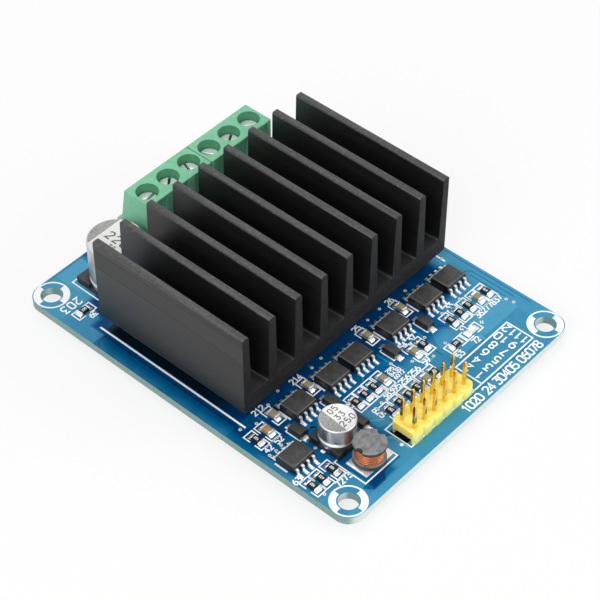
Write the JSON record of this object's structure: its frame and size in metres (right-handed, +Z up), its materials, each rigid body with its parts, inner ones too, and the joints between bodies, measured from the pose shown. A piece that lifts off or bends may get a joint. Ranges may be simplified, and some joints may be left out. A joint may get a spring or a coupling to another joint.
{
  "type": "dc motor driver module",
  "caption": "Blue circuit board with a black finned heatsink over its power transistors, green screw terminal blocks along the rear edge and a yellow pin header at the front.",
  "frame": {"origin": "under the middle of the board, level with the tips of the solder tails that the module stands on", "axes": "+X along the board's front edge towards its right end, +Y from the pin header's edge to the terminal blocks' edge, +Z up from the board"},
  "size_m": [0.0576, 0.074, 0.023],
  "materials": {
    "circuit_board": "blue solder mask, satin gloss",
    "heatsink": "black anodised extrusion",
    "thermal_pad": "soft matt sheet",
    "terminal_housing": "satin moulding",
    "transistor": "moulded epoxy with tinned leads",
    "terminal_screw": "nickel plated steel",
    "terminal_cage": "nickel plated",
    "terminal_contact": "tinned",
    "header_body": "moulded",
    "header_pins": "gold plated",
    "chip": "moulded epoxy with tinned leads",
    "diode": "moulded epoxy with tinned tabs",
    "capacitor_can": "drawn, satin",
    "capacitor_base": "moulded",
    "tinned": "tinned",
    "ferrite": "matt ferrite",
    "winding": "enamelled copper wire",
    "chip_capacitor": "ceramic with tinned ends",
    "chip_resistor": "coated ceramic with tinned ends",
    "led": "clear resin",
    "solder": "bright solder"
  },
  "bodies": {
    "module": {"circuit_board": "circuit_board", "heatsink": "heatsink", "thermal_pad": "thermal_pad", "terminal_housing_left": "terminal_housing", "terminal_housing_right": "terminal_housing", "transistor_1": "transistor", "transistor_2": "transistor", "transistor_3": "transistor", "transistor_4": "transistor", "transistor_5": "transistor", "transistor_6": "transistor", "transistor_7": "transistor", "transistor_8": "transistor", "terminal_contact_1": "terminal_contact", "terminal_contact_2": "terminal_contact", "terminal_contact_3": "terminal_contact", "terminal_contact_4": "terminal_contact", "terminal_contact_5": "terminal_contact", "terminal_contact_6": "terminal_contact", "header_body": "header_body", "header_pins": "header_pins", "regulator_chip": "chip", "driver_chip_1": "chip", "driver_chip_2": "chip", "driver_chip_3": "chip", "driver_chip_4": "chip", "driver_chip_5": "chip", "driver_chip_6": "chip", "diode_1": "diode", "diode_2": "diode", "diode_3": "diode", "diode_4": "diode", "diode_5": "diode", "bulk_capacitor_can": "capacitor_can", "bulk_capacitor_base": "capacitor_base", "filter_capacitor_can": "capacitor_can", "filter_capacitor_base": "capacitor_base", "capacitor_tabs": "tinned", "inductor_core": "ferrite", "inductor_winding": "winding", "inductor_pads": "tinned", "chip_capacitors": "chip_capacitor", "chip_resistors": "chip_resistor", "indicator_led": "led", "solder_joints": "solder"},
    "screw_1": {"terminal_screw_1": "terminal_screw"},
    "cage_1": {"terminal_cage_1": "terminal_cage"},
    "screw_2": {"terminal_screw_2": "terminal_screw"},
    "cage_2": {"terminal_cage_2": "terminal_cage"},
    "screw_3": {"terminal_screw_3": "terminal_screw"},
    "cage_3": {"terminal_cage_3": "terminal_cage"},
    "screw_4": {"terminal_screw_4": "terminal_screw"},
    "cage_4": {"terminal_cage_4": "terminal_cage"},
    "screw_5": {"terminal_screw_5": "terminal_screw"},
    "cage_5": {"terminal_cage_5": "terminal_cage"},
    "screw_6": {"terminal_screw_6": "terminal_screw"},
    "cage_6": {"terminal_cage_6": "terminal_cage"}
  },
  "joints": [
    {"name": "screw_1_turn", "type": "hinge", "parent": "module", "child": "screw_1", "pos_m": [-0.00645, 0.02845, 0.0097], "axis": [0, 0, -1], "range_deg": [0, 1440]},
    {"name": "cage_1_rise", "type": "slide", "parent": "module", "child": "cage_1", "axis": [0, 0, 1], "range_m": [0, 0.0018]},
    {"name": "screw_2_turn", "type": "hinge", "parent": "module", "child": "screw_2", "pos_m": [-0.00137, 0.02845, 0.0097], "axis": [0, 0, -1], "range_deg": [0, 1440]},
    {"name": "cage_2_rise", "type": "slide", "parent": "module", "child": "cage_2", "axis": [0, 0, 1], "range_m": [0, 0.0018]},
    {"name": "screw_3_turn", "type": "hinge", "parent": "module", "child": "screw_3", "pos_m": [0.00371, 0.02845, 0.0097], "axis": [0, 0, -1], "range_deg": [0, 1440]},
    {"name": "cage_3_rise", "type": "slide", "parent": "module", "child": "cage_3", "axis": [0, 0, 1], "range_m": [0, 0.0018]},
    {"name": "screw_4_turn", "type": "hinge", "parent": "module", "child": "screw_4", "pos_m": [0.00879, 0.02845, 0.0097], "axis": [0, 0, -1], "range_deg": [0, 1440]},
    {"name": "cage_4_rise", "type": "slide", "parent": "module", "child": "cage_4", "axis": [0, 0, 1], "range_m": [0, 0.0018]},
    {"name": "screw_5_turn", "type": "hinge", "parent": "module", "child": "screw_5", "pos_m": [0.01387, 0.02845, 0.0097], "axis": [0, 0, -1], "range_deg": [0, 1440]},
    {"name": "cage_5_rise", "type": "slide", "parent": "module", "child": "cage_5", "axis": [0, 0, 1], "range_m": [0, 0.0018]},
    {"name": "screw_6_turn", "type": "hinge", "parent": "module", "child": "screw_6", "pos_m": [0.01895, 0.02845, 0.0097], "axis": [0, 0, -1], "range_deg": [0, 1440]},
    {"name": "cage_6_rise", "type": "slide", "parent": "module", "child": "cage_6", "axis": [0, 0, 1], "range_m": [0, 0.0018]}
  ],
  "couplings": [
    {"joint": "screw_1_turn", "follows": "cage_1_rise", "rad_per_m": 13963},
    {"joint": "screw_2_turn", "follows": "cage_2_rise", "rad_per_m": 13963},
    {"joint": "screw_3_turn", "follows": "cage_3_rise", "rad_per_m": 13963},
    {"joint": "screw_4_turn", "follows": "cage_4_rise", "rad_per_m": 13963},
    {"joint": "screw_5_turn", "follows": "cage_5_rise", "rad_per_m": 13963},
    {"joint": "screw_6_turn", "follows": "cage_6_rise", "rad_per_m": 13963}
  ]
}
